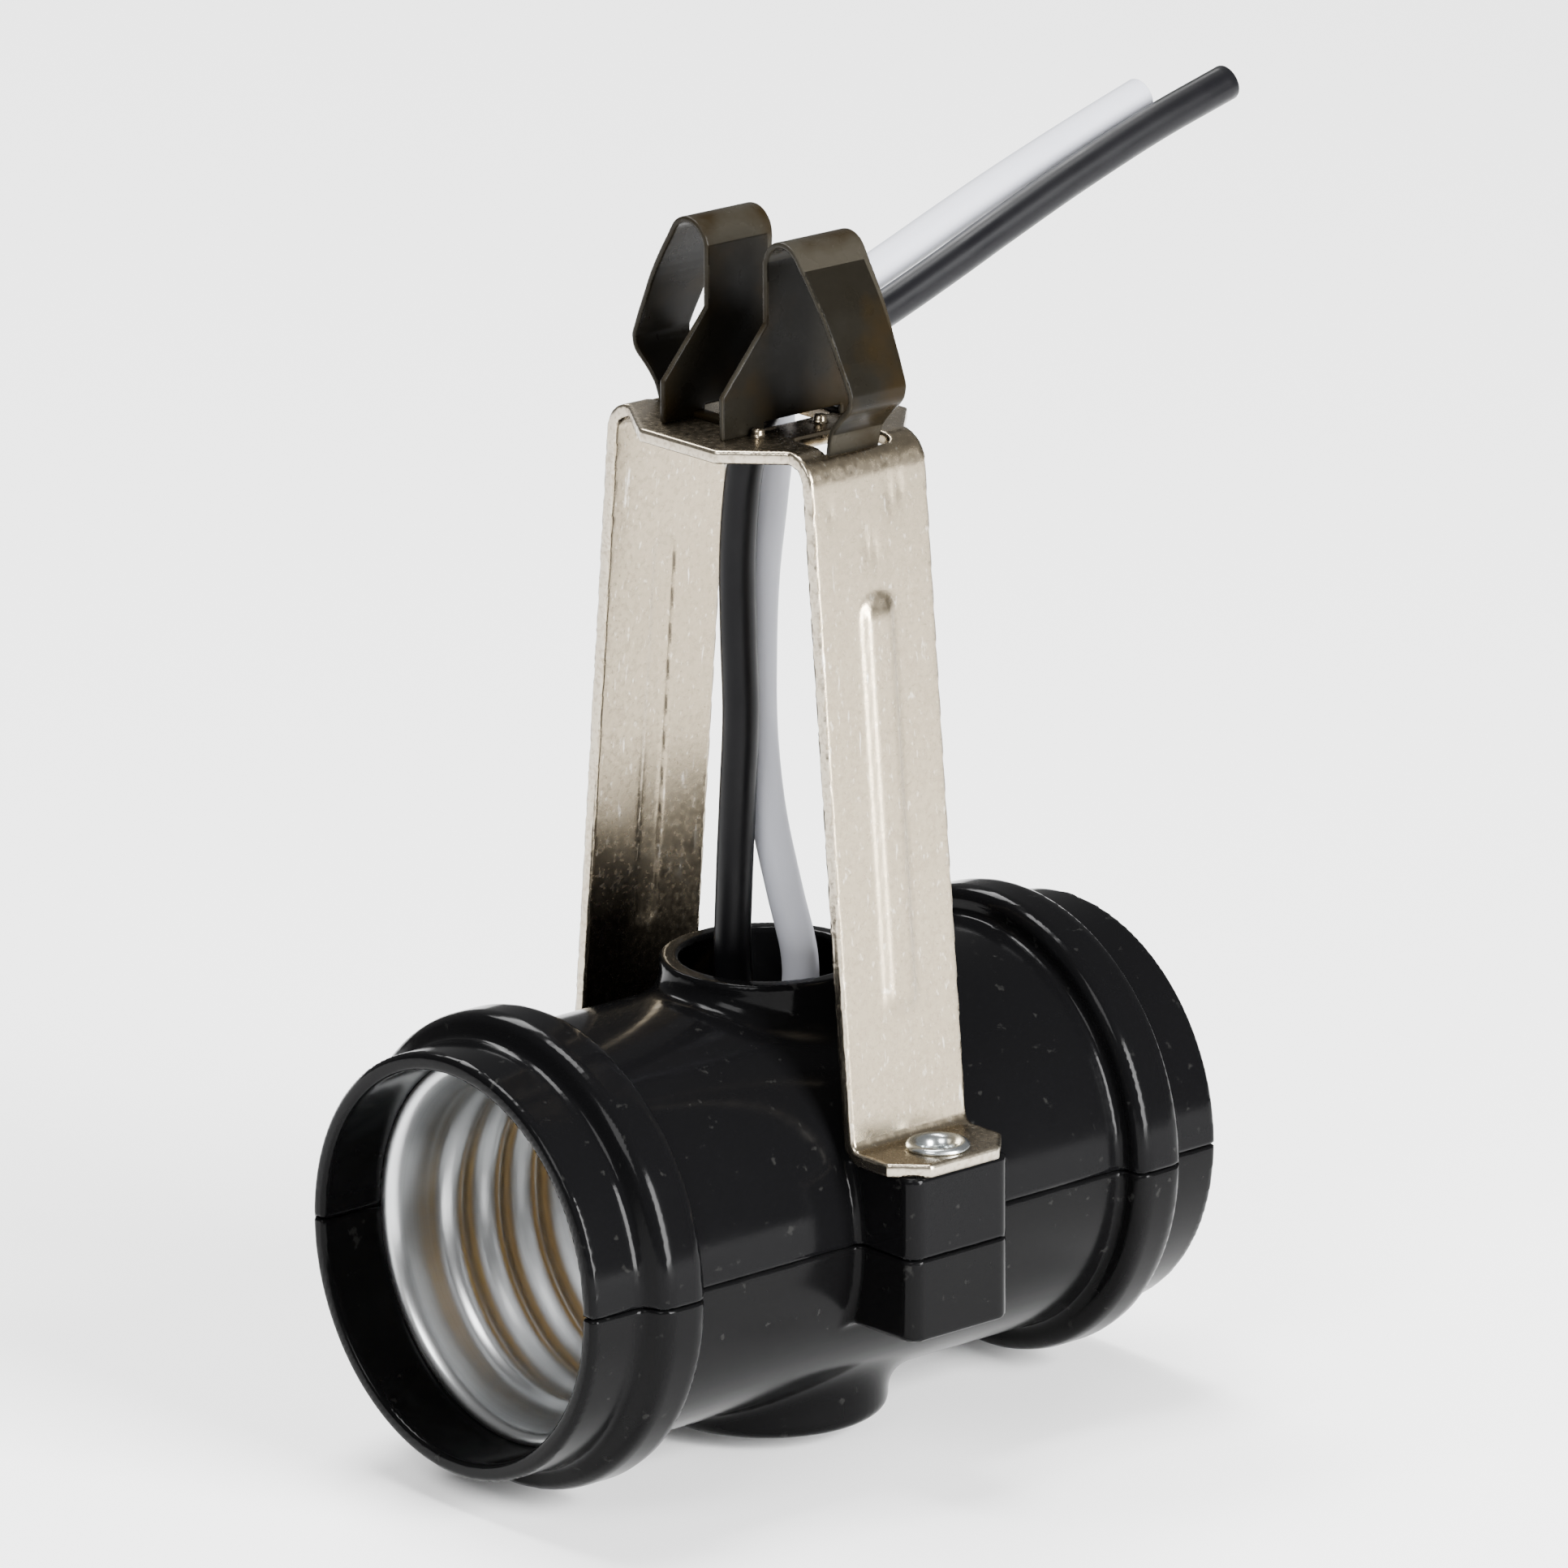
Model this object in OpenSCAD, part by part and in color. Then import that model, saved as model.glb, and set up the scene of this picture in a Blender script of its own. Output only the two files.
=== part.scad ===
// Two-lamp socket cluster with a snap-in bracket.
// X runs along the sockets, Y across them, Z up. The origin is the centre of the bracket's top plate,
// on its upper face, where the cluster snaps into a fixture.

/* [Body] */
// Length of the body, end face to end face
body_len = 62.4; // [60:0.1:66]
// Diameter of the plain barrel between the rings
barrel_d = 32.2; // [31.6:0.1:33]
// Diameter of the lip at each end
lip_d = 32.8; // [32.4:0.1:33.4]
// Diameter of the raised ring behind each lip
ring_d = 36.5; // [35:0.1:38]
// Distance from the end face to the front of the ring
ring_front = 5.0; // [4.5:0.1:5.5]
// Distance from the end face to the back of the ring
ring_back = 9.6; // [9:0.1:11]
// Diameter of the recess in each end face
recess_d = 29.8; // [29.7:0.05:30]
// Depth of the recess, down to the rim of the screw shell
recess_depth = 6.0; // [5:0.1:6.5]

/* [Ears, collar and boss] */
// Width of each ear along the sockets
ear_w = 10.0; // [9:0.1:11]
// Distance from the middle of the body to the outer face of an ear
ear_reach = 22.0; // [21.8:0.1:22.2]
// Height of each ear
ear_h = 12.8; // [12:0.1:13.2]
// Radius of the ears' upright corners
ear_round = 1.3; // [0.5:0.1:2]
// Outer diameter of the wiring collar
collar_d = 16.3; // [16:0.1:17]
// Inner diameter of the wiring collar
collar_bore = 13.3; // [12.5:0.1:13.4]
// Height of the collar's rim above the socket axis
collar_top = 17.9; // [17.6:0.1:18.5]
// Diameter of the round boss underneath
boss_d = 18.2; // [16:0.1:20]
// Distance from the socket axis down to the boss's face
boss_drop = 17.8; // [17.2:0.1:18.2]

/* [Sockets] */
// Pitch of the rolled lamp thread
pitch = 3.629; // [3.6:0.001:3.65]
// Largest inner radius of the rolled thread
thread_out_r = 13.25; // [13.2:0.01:13.3]
// Smallest inner radius of the rolled thread
thread_in_r = 12.5; // [12.4:0.01:12.6]
// Thickness of the screw shell's metal
shell_t = 0.4; // [0.3:0.05:0.45]
// Radius of the insulating disc behind the screw shell
disc_r = 13.6; // [13.4:0.1:13.8]

/* [Bracket] */
// Distance from the socket axis up to the bracket's top face
body_drop = 59.8; // [59:0.1:61]
// Width of the bracket's strap
strap_w = 11.4; // [11:0.1:11.8]
// Thickness of the bracket's metal
strap_t = 1.0; // [0.9:0.05:1.1]
// Slope of each leg from the vertical, in degrees
leg_slope = 5.2; // [5:0.1:5.4]
// Width of the top plate across its wings
wing_w = 19.0; // [18:0.1:21]
// Length of a wing's straight edge
wing_len = 8.5; // [8:0.1:9]
// How far the wings sit towards the front of the strap
wing_shift = 0.9; // [0:0.1:1]
// Outer radius of the bends at the top of the legs
bend_r = 2.5; // [2.4:0.1:2.6]
// Distance from the middle of the body to the tip of a foot
foot_reach = 22.3; // [22.2:0.1:22.4]
// Height of the embossed rib on each leg
rib_len = 33.0; // [25:0.5:34]
// Width of the embossed rib
rib_w = 2.2; // [2:0.1:2.6]

/* [Clip] */
// Thickness of the spring steel
clip_t = 0.45; // [0.4:0.05:0.5]
// Distance between the clip's two upright walls
clip_gap = 6.2; // [6.2:0.1:6.6]
// Width of a clip wall at its foot
clip_foot_w = 14.6; // [14:0.1:15]
// Width of the clip's arms
clip_arm_w = 6.0; // [5.6:0.1:6.2]
// Height of the clip above the top plate
clip_h = 14.7; // [14.5:0.1:15]
// Distance from the middle of the clip to each knee
knee_reach = 12.4; // [12.2:0.1:12.6]

/* [Leads] */
// Outer diameter of a lead's insulation
lead_d = 2.8; // [2.7:0.05:2.85]

/* [Hidden] */
$fn = 96;
eps = 0.01;
half_len = body_len / 2;

// Inside of the body
cavity_r = 13.9;       // bore that the screw shell sits in
chamber_r = 12.2;      // wiring chamber in the middle
chamber_x = 5.2;       // half length of the wiring chamber
rim_t = 0.5;           // thickness of the screw shell's rolled rim
disc_t = 0.8;          // thickness of the insulating disc
mouth_x = half_len - recess_depth;
disc_x = chamber_x;    // chamber side of the disc
back_x = disc_x + disc_t;   // back face of the screw shell

// Contacts and straps
strip_w = 6;           // width of the contact strips
strip_t = 0.8;         // thickness of the bus and the strap
tongue_t = 0.5;        // thickness of the centre contacts
bus_z = -10.4;         // underside of the hot bus
hot_rivet_z = -7.7;
strap_y = 11.9;        // outer face of the neutral strap
neutral_rivet_y = 9.3;
rivet_r = 1.1;
tongue_z = -5.6;       // height of the contact's bend
tongue_reach = 2.2;    // how far the contact's tip stands out
tongue_h = 6.6;        // height of the tip above the bend
crimp_r = 1.95;
crimp_bore = 1.5;
hot_crimp_x = 0.5;
neutral_crimp_x = 1.6;
neutral_crimp_y = 8.45;
strands_r = 0.6;

// Bracket and clip
leg_out = 16.1;        // outer face of a leg, carried down to the foot's upper face
foot_z = -body_drop + ear_h / 2;       // top of the ear, under the foot
leg_top_y = leg_out - tan(leg_slope) * (-foot_z - strap_t);
bend_y = leg_top_y - bend_r * (1 / cos(leg_slope) - tan(leg_slope));
foot_bend_r = 0.8;     // inner radius of the bend between leg and foot
foot_bend_y = leg_out + foot_bend_r * (1 - sin(leg_slope)) / cos(leg_slope);
foot_chamfer = 2.3;
eyelet_y = 19.2;
eyelet_r = 1.95;       // outer radius of the eyelet's tube
eyelet_bore = 1.2;
eyelet_lip_r = 2.48;
eyelet_hole_r = 2.0;   // hole in the foot and the ear
window_in = 6.5;
window_out = 10.2;
window_half = 3.25;
opening_x = [-3.4, 4.4];               // wire opening in the top plate
opening_y = 2.6;
strip_x = [[-4.4, -3.2], [4.4, 5.6]];  // cross strips of the clip's base
wall_y = clip_gap / 2;
arch_r = 2.2;          // outer radius of the arch on top of each arm
arch_y = wall_y + arch_r;
arch_z = clip_h - arch_r;
leg_route = [[9.5, 10.2], [11.05, 7.2], [knee_reach - 0.2, 4.8], [knee_reach, 4.0], [knee_reach - 0.3, 3.0],
    [10.8, 1.75], [9.95, 0.6], [9.55, -1.3]];
stake_x = [-4.3, 1.8];
stake_y = wall_y + clip_t + 0.55;
stake_r = 0.5;

// Routes of the leads, from the crimp to the cut end
black_route = [[0.5, 0, -66.3], [0.5, 0, -63], [0.2, 0.2, -59], [-0.6, 0.6, -54], [-1.5, 1.1, -48.5],
    [-2.1, 1.5, -42.5], [-2.2, 1.2, -36], [-2.1, 0.9, -29.5], [-2.0, 0.6, -23], [-2.1, 0.7, -17],
    [-2.1, 0.8, -11], [-2.1, 0.3, -5.6], [-2.0, -0.4, -2.2], [-1.3, -1.1, 0.7], [0.9, -1.45, 3.0],
    [4.4, -1.45, 4.6], [7.9, -1.45, 5.75], [11.4, -1.45, 6.9], [17, -1.45, 8.95], [22.6, -1.45, 11.1],
    [29.4, -1.45, 13.6], [37.6, -1.45, 16.3], [45.4, -1.45, 18.4]];
white_route = [[1.6, 8.45, -60.2], [1.6, 8.45, -57], [1.7, 7.2, -53.4], [1.9, 4.4, -50.4], [2.0, 1.2, -48],
    [2.0, -1.2, -45.2], [1.8, -1.6, -41.8], [1.4, -0.4, -37], [0.9, 0.9, -31], [0.8, 1.7, -25],
    [0.9, 1.9, -19], [1.1, 1.8, -13], [1.4, 1.2, -7], [1.9, 1.0, -2], [2.1, 1.2, 1],
    [2.7, 1.5, 3.9], [4.9, 1.5, 6.2], [9, 1.5, 7.8], [14, 1.5, 9.6], [19.7, 1.5, 11.7],
    [25.4, 1.5, 13.7], [32, 1.5, 15.8], [39.2, 1.5, 17.9]];

// Colours
black_plastic = "#141414";
aluminium = "#c4c6c8";
fibre = "#5a3a28";
brass = "#b8933f";
nickel = "#c9c3b6";
zinc = "#c8cdd2";
spring_steel = "#26241f";
copper = "#b8703c";
black_pvc = "#1c1c1f";
white_pvc = "#e6e7ec";

function arc(cx, cy, r, from, to, steps) =
    [for (i = [0:steps]) let (a = from + (to - from) * i / steps) [cx + r * cos(a), cy + r * sin(a)]];

function unit(v) = v / norm(v);

// A bent strip of thickness t: the points run along one face, and the other lies to their right.
module strip(points, t) {
    n = len(points);
    other = [for (i = [n - 1:-1:0])
        let (d = unit(points[min(i + 1, n - 1)] - points[max(i - 1, 0)])) points[i] + t * [d[1], -d[0]]];
    polygon(concat(points, other));
}

// Puts a piece drawn round the socket axis in its place under the top plate.
module on_axis() {
    translate([0, 0, -body_drop]) children();
}

// Turns a profile of [distance along X, radius] into a solid of revolution about X.
module about_x(points) {
    rotate([0, 90, 0]) rotate_extrude() polygon([for (p = points) [p[1], p[0]]]);
}

// ---- Body shells ----

function end_outline() = concat(
    [[half_len, lip_d / 2 - 0.3], [half_len - 0.3, lip_d / 2], [half_len - ring_front + 0.9, lip_d / 2]],
    arc(half_len - ring_front - 1.1, ring_d / 2 - 1.4, 1.4, 0, 90, 4),
    arc(half_len - ring_back + 0.3, ring_d / 2 - 0.3, 0.3, 90, 180, 2),
    [[half_len - ring_back, barrel_d / 2 + 0.5], [half_len - ring_back - 0.5, barrel_d / 2]]);

module body_outside() {
    ends = end_outline();
    n = len(ends);
    other_end = [for (i = [n - 1:-1:0]) [-ends[i][0], ends[i][1]]];
    about_x(concat([[-half_len, 0], [half_len, 0]], ends, other_end));
    cylinder(d = collar_d, h = collar_top);
    cylinder(d1 = collar_d + 1.6, d2 = collar_d, h = collar_top - 1.2);
    rotate([180, 0, 0]) cylinder(d = boss_d, h = boss_drop - 0.8);
    rotate([180, 0, 0]) cylinder(d = boss_d - 1.6, h = boss_drop);
    for (s = [-1, 1]) ear(s);
}

module ear(side) {
    x = ear_w / 2 - ear_round;
    y = ear_reach - ear_round;
    translate([0, 0, -ear_h / 2]) linear_extrude(ear_h) {
        translate([-ear_w / 2, side > 0 ? 0 : -y]) square([ear_w, y]);
        translate([-x, side > 0 ? 0 : -ear_reach]) square([2 * x, ear_reach]);
        for (sx = [-1, 1]) translate([sx * x, side * y]) circle(r = ear_round);
    }
}

module body_inside() {
    for (s = [0, 180]) rotate([0, 90, s]) {
        translate([0, 0, mouth_x]) cylinder(d = recess_d, h = recess_depth + 1);
        translate([0, 0, chamber_x]) cylinder(r = cavity_r, h = mouth_x);
    }
    rotate([0, 90, 0]) cylinder(r = chamber_r, h = 2 * chamber_x + 1, center = true);
    cylinder(d = collar_bore, h = collar_top + 1);
    for (s = [-1, 1]) translate([0, s * eyelet_y, 0]) cylinder(r = eyelet_hole_r, h = 40, center = true);
}

module upper_shell() {
    color(black_plastic) on_axis() difference() {
        intersection() {
            body_outside();
            translate([-50, -50, 0]) cube([100, 100, 50]);
        }
        body_inside();
    }
}

module lower_shell() {
    color(black_plastic) on_axis() difference() {
        intersection() {
            body_outside();
            translate([-50, -50, -50]) cube([100, 100, 50]);
        }
        body_inside();
    }
}

// ---- Screw shells ----

// Inner radius of the screw shell at x: plain near the rim and the back, waved by the thread between.
function wave_r(x) =
    let (start = mouth_x - 3.0, stop = start - 3.5 * pitch)
    x > start || x < stop ? thread_out_r
        : (thread_out_r + thread_in_r) / 2
            + (thread_out_r - thread_in_r) / 2 * cos((start - x) / pitch * 360);

module screw_shell() {
    steps = 48;
    rim_r = recess_d / 2 - 0.1;
    front = mouth_x - 1.4;
    xs = [for (i = [0:steps]) front - (front - back_x) * i / steps];
    inner = [for (x = xs) [x, wave_r(x)]];
    outer = [for (i = [steps:-1:0]) [xs[i], wave_r(xs[i]) + shell_t]];
    about_x(concat([[mouth_x + rim_t, rim_r], [mouth_x + rim_t, rim_r - 0.5], [mouth_x, thread_out_r + 0.5]],
        inner, outer, [[front + eps, cavity_r - 0.1], [mouth_x, cavity_r - 0.1], [mouth_x, rim_r]]));
    rotate([0, 90, 0]) translate([0, 0, back_x]) difference() {
        cylinder(r = thread_out_r + eps, h = shell_t);
        translate([0, 0, -1]) cylinder(r = 11.2, h = 2);
    }
    difference() {
        translate([back_x, 7.4, -strip_w / 2]) cube([shell_t, 4.6, strip_w]);
        translate([0, neutral_rivet_y, 0]) rotate([0, 90, 0]) cylinder(r = rivet_r, h = 20);
    }
}

module right_screw_shell() {
    color(aluminium) on_axis() screw_shell();
}

module left_screw_shell() {
    color(aluminium) on_axis() mirror([1, 0, 0]) screw_shell();
}

// ---- Insulating discs ----

module insulating_disc() {
    difference() {
        translate([disc_x, 0, 0]) rotate([0, 90, 0]) cylinder(r = disc_r, h = disc_t);
        translate([0, 0, hot_rivet_z]) rotate([0, 90, 0]) cylinder(r = rivet_r, h = 20);
        translate([0, neutral_rivet_y, 0]) rotate([0, 90, 0]) cylinder(r = rivet_r, h = 20);
    }
}

module right_insulating_disc() {
    color(fibre) on_axis() insulating_disc();
}

module left_insulating_disc() {
    color(fibre) on_axis() mirror([1, 0, 0]) insulating_disc();
}

// ---- Live and neutral parts ----

// A flat strip along X with an upright at each end, drawn in the XZ plane and drilled for its rivets.
module bus(width, rivet_height) {
    inner = disc_x - strip_t;
    difference() {
        union() {
            translate([-disc_x, -width / 2, 0]) cube([2 * disc_x, width, strip_t]);
            for (x = [-disc_x, inner]) translate([x, -width / 2, 0]) cube([strip_t, width, 5]);
        }
        translate([0, 0, rivet_height]) rotate([0, 90, 0]) cylinder(r = rivet_r, h = 20, center = true);
    }
}

module hot_bus() {
    color(brass) on_axis() translate([0, 0, bus_z]) bus(strip_w, hot_rivet_z - bus_z);
}

module neutral_strap() {
    color(brass) on_axis() translate([0, strap_y, 0]) rotate([90, 0, 0])
        bus(4, strap_y - neutral_rivet_y);
}

// Two rivets, one through each stack of strip, disc and the piece of thickness front_t in front of it.
module rivet_pair(front_t) {
    inner = disc_x - strip_t;
    outer = back_x + front_t;
    for (a = [0, 180]) rotate([0, 0, a]) rotate([0, 90, 0]) {
        translate([0, 0, inner]) cylinder(r = rivet_r, h = outer - inner);
        translate([0, 0, inner - 0.6]) cylinder(r1 = 1.2, r2 = 1.75, h = 0.6);
        translate([0, 0, outer]) cylinder(r1 = 1.75, r2 = 1.2, h = 0.6);
    }
}

module hot_rivets() {
    color(brass) on_axis() translate([0, 0, hot_rivet_z]) rivet_pair(tongue_t);
}

module neutral_rivets() {
    color(brass) on_axis() translate([0, neutral_rivet_y, 0]) rivet_pair(shell_t);
}

module contact_foot() {
    difference() {
        translate([back_x, -strip_w / 2, tongue_z - 4.2]) cube([tongue_t, strip_w, 4.2]);
        translate([0, 0, hot_rivet_z]) rotate([0, 90, 0]) cylinder(r = rivet_r, h = 20);
    }
}

module right_contact_foot() {
    color(brass) on_axis() contact_foot();
}

module left_contact_foot() {
    color(brass) on_axis() mirror([1, 0, 0]) contact_foot();
}

// The springy tongue: it leans out from its bend to a rounded tip, which curls back a little.
module centre_contact() {
    face = back_x + tongue_t;
    tip = [face + tongue_reach, tongue_z + tongue_h];
    curl = arc(tip[0] - 1.2, tip[1] + 0.2, 1.2, 75, 15, 4);
    translate([0, 2.4, 0]) rotate([90, 0, 0]) linear_extrude(4.8)
        strip(concat(curl, [tip, [face, tongue_z]]), tongue_t);
}

module right_centre_contact() {
    color(brass) on_axis() centre_contact();
}

module left_centre_contact() {
    color(brass) on_axis() mirror([1, 0, 0]) centre_contact();
}

// A barrel closed round the end of a lead.
module crimp_barrel(height) {
    difference() {
        cylinder(r = crimp_r, h = height);
        translate([0, 0, -1]) cylinder(r = crimp_bore, h = height + 2);
    }
}

module hot_crimp() {
    floor_z = bus_z + strip_t;
    color(brass) on_axis() translate([hot_crimp_x, 0, floor_z]) crimp_barrel(4.6);
}

module neutral_crimp() {
    flag = strap_y - strip_t - neutral_crimp_y;
    color(brass) on_axis() translate([neutral_crimp_x, neutral_crimp_y, -3]) {
        crimp_barrel(3.9);
        difference() {
            translate([-1.2, 0, 0]) cube([2.4, flag, 3.9]);
            translate([0, 0, -1]) cylinder(r = crimp_bore, h = 8);
        }
    }
}

// The bare strands below a lead's insulation, from z up to the start of the lead's route.
module strands(route, z) {
    start = route[0];
    translate([start[0], start[1], z]) cylinder(r = strands_r, h = start[2] - z);
}

module black_strands() {
    color(copper) strands(black_route, -body_drop + bus_z + strip_t);
}

module white_strands() {
    color(copper) strands(white_route, -body_drop - 2.9);
}

// ---- Bracket ----

// Part of a ring between two directions less than 180 degrees apart.
module sector(r_out, r_in, from, to) {
    far = 2 * r_out;
    intersection() {
        difference() {
            circle(r = r_out);
            circle(r = r_in);
        }
        polygon([[0, 0], [far * cos(from), far * sin(from)],
            [far * cos((from + to) / 2), far * sin((from + to) / 2)], [far * cos(to), far * sin(to)]]);
    }
}

// One half of the strap, in [distance from the middle, height]: plate, bend, leg, bend, foot.
module half_strap() {
    t = strap_t;
    d = [cos(leg_slope), sin(leg_slope)];
    lap = eps * [-d[1], d[0]];
    top = [bend_y, -bend_r];
    low = [foot_bend_y, foot_z + t + foot_bend_r];
    translate([0, -t]) square([bend_y + eps, t]);
    translate(top) sector(bend_r, bend_r - t, leg_slope, 90);
    polygon([top + bend_r * d + lap, top + (bend_r - t) * d + lap, low - (foot_bend_r + t) * d - lap,
        low - foot_bend_r * d - lap]);
    translate(low) sector(foot_bend_r + t, foot_bend_r, 180 + leg_slope, 270);
    translate([foot_bend_y - eps, foot_z]) square([foot_reach - foot_bend_y + eps, t]);
}

module plate_outline() {
    w = wing_w / 2;
    s = strap_w / 2;
    near = -wing_shift - wing_len / 2;
    far = -wing_shift + wing_len / 2;
    polygon([[-s, -bend_y], [-w, near], [-w, far], [-s, bend_y],
        [s, bend_y], [w, far], [w, near], [s, -bend_y]]);
}

module foot_corners(side) {
    s = strap_w / 2;
    y = foot_reach;
    for (sx = [-1, 1]) translate([0, 0, foot_z - 1]) linear_extrude(strap_t + 2)
        polygon([[sx * (s + 1), side * (y - foot_chamfer - 1)], [sx * (s + 1), side * (y + 1)],
            [sx * (s - foot_chamfer - 1), side * (y + 1)]]);
}

module rib(side) {
    mid_z = -27.5;
    y = leg_out - tan(leg_slope) * (mid_z - foot_z - strap_t);
    translate([0, side * (y + 0.05), mid_z]) rotate([side * leg_slope, 0, 0]) {
        translate([-rib_w / 2, side > 0 ? -0.5 : -0.3, -rib_len / 2]) cube([rib_w, 0.8, rib_len]);
    }
}

module bracket() {
    color(nickel) difference() {
        union() {
            translate([-strap_w / 2, 0, 0]) rotate([90, 0, 90]) linear_extrude(strap_w) {
                half_strap();
                mirror([1, 0]) half_strap();
            }
            translate([0, 0, -strap_t]) linear_extrude(strap_t) plate_outline();
            for (s = [-1, 1]) rib(s);
            for (s = [-1, 1], x = stake_x) translate([x, s * stake_y, -0.5]) cylinder(r = stake_r, h = 1.1);
        }
        translate([opening_x[0], -opening_y, -3]) cube([opening_x[1] - opening_x[0], 2 * opening_y, 6]);
        for (s = [-1, 1]) {
            translate([-window_half, s > 0 ? window_in : -window_out, -2.6])
                cube([2 * window_half, window_out - window_in, 5]);
            foot_corners(s);
            translate([0, s * eyelet_y, foot_z - 2]) cylinder(r = eyelet_hole_r, h = 5);
        }
    }
}

// ---- Eyelets ----

module eyelet() {
    h = ear_h / 2;
    roll_r = (eyelet_lip_r - eyelet_bore) / 2;
    difference() {
        cylinder(r = eyelet_r, h = 2 * h + strap_t);
        translate([0, 0, -1]) cylinder(r = eyelet_bore, h = 2 * h + strap_t + 2);
    }
    translate([0, 0, 2 * h + strap_t]) rotate_extrude() translate([eyelet_bore + roll_r, 0]) intersection() {
        circle(r = roll_r);
        translate([-roll_r, 0]) square([2 * roll_r, roll_r]);
    }
}

module front_eyelet() {
    color(zinc) on_axis() translate([0, -eyelet_y, -ear_h / 2]) eyelet();
}

module back_eyelet() {
    color(zinc) on_axis() translate([0, eyelet_y, -ear_h / 2]) eyelet();
}

// ---- Spring clip ----

module clip_wall() {
    f = clip_foot_w / 2;
    a = clip_arm_w / 2;
    lift = 0.75;
    translate([0, wall_y + clip_t, 0]) rotate([90, 0, 0]) linear_extrude(clip_t)
        polygon([[-f, 0], [strip_x[0][1], 0], [strip_x[0][1], lift], [strip_x[1][0], lift],
            [strip_x[1][0], 0], [f, 0], [f, 3.25], [a, 8.2], [a, arch_z],
            [-a, arch_z], [-a, 8.2], [-f, 3.25]]);
}

// Inner half of the arch on top of an arm, up to its crown.
module arch_half(from, to) {
    translate([-clip_arm_w / 2, arch_y, arch_z]) rotate([90, 0, 90]) linear_extrude(clip_arm_w)
        sector(arch_r, arch_r - clip_t, from, to);
}

module clip_base() {
    color(spring_steel) {
        for (m = [0, 1]) mirror([0, m, 0]) {
            clip_wall();
            arch_half(90, 180);
        }
        for (x = strip_x) translate([x[0], -wall_y - eps, 0]) cube([x[1] - x[0], clip_gap + 2 * eps, clip_t]);
    }
}

// Outer leg of an arm: from the crown down to the knee, then in to the tail in the bracket's window.
module clip_leg() {
    away = leg_route[0] - [arch_y, arch_z];
    fall = atan2(away[1], away[0]) + acos(arch_r / norm(away));
    arch_half(fall, 90);
    start = [arch_y + arch_r * cos(fall), arch_z + arch_r * sin(fall)];
    translate([-clip_arm_w / 2, 0, 0]) rotate([90, 0, 90]) linear_extrude(clip_arm_w)
        strip(concat([start], leg_route), clip_t);
}

module back_clip_leg() {
    color(spring_steel) clip_leg();
}

module front_clip_leg() {
    color(spring_steel) mirror([0, 1, 0]) clip_leg();
}

// ---- Leads ----

function tangent(route, i) = unit(route[min(i + 1, len(route) - 1)] - route[max(i - 1, 0)]);

// An eight-sided tube along a route, with a ring at each point.
module lead(route) {
    sides = 8;
    n = len(route);
    r = lead_d / 2;
    rings = [for (i = [0:n - 1]) let (t = tangent(route, i), u = unit(cross(t, [0.4, 1, 0])), v = cross(u, t))
        for (j = [0:sides - 1]) let (a = 360 * j / sides) route[i] + r * cos(a) * u + r * sin(a) * v];
    walls = [for (i = [0:n - 2], j = [0:sides - 1]) let (k = (j + 1) % sides)
        [i * sides + j, i * sides + k, (i + 1) * sides + k, (i + 1) * sides + j]];
    start_cap = [[for (j = [sides - 1:-1:0]) j]];
    end_cap = [[for (j = [0:sides - 1]) (n - 1) * sides + j]];
    polyhedron(points = rings, faces = concat(walls, start_cap, end_cap), convexity = 4);
}

module black_lead() {
    color(black_pvc) lead(black_route);
}

module white_lead() {
    color(white_pvc) lead(white_route);
}

upper_shell();
lower_shell();
left_screw_shell();
right_screw_shell();
left_insulating_disc();
right_insulating_disc();
hot_bus();
neutral_strap();
hot_rivets();
neutral_rivets();
left_contact_foot();
right_contact_foot();
left_centre_contact();
right_centre_contact();
hot_crimp();
neutral_crimp();
black_strands();
white_strands();
bracket();
front_eyelet();
back_eyelet();
clip_base();
front_clip_leg();
back_clip_leg();
black_lead();
white_lead();
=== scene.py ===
"""Looks of the two-lamp socket cluster. Shapes are worked out in millimetres and built in metres."""
import math

import bpy
import numpy as np
from mathutils import Matrix, Vector


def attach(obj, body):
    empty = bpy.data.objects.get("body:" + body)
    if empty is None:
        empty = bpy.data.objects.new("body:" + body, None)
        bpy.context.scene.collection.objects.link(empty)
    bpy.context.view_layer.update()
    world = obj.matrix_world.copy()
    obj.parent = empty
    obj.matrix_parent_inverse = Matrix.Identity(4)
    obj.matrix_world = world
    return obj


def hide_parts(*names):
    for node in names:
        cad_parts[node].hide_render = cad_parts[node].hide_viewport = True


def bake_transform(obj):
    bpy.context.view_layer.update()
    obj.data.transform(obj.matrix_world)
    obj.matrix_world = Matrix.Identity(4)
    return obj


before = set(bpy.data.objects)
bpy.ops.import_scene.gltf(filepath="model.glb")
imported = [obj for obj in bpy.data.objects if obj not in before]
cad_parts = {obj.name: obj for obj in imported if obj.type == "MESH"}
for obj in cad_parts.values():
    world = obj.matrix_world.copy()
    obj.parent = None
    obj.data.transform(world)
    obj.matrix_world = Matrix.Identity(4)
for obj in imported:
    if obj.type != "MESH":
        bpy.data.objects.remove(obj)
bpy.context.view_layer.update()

MM = 0.001
AXIS_Z = -59.8                  # height of the socket axis, measured from the top plate
SHEET = 1.0                     # thickness of the bracket's metal
LEG_SLOPE = math.radians(5.2)   # how far the bracket's legs splay from upright
BEND = 2.5                      # outer radius where the top plate turns into a leg
FOOT_BEND = 0.8                 # inner radius where a leg turns into its foot
FOOT_TOP = AXIS_Z + 7.4
FOOT_REACH = 22.3               # from the middle out to the end of a foot
EYELET_Y = 19.2
EYELET_HOLE = 2.0
CLIP_T = 0.45                   # thickness of the clip's spring steel
WALL_Y = 3.1                    # from the middle out to the clip's upright walls
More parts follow.
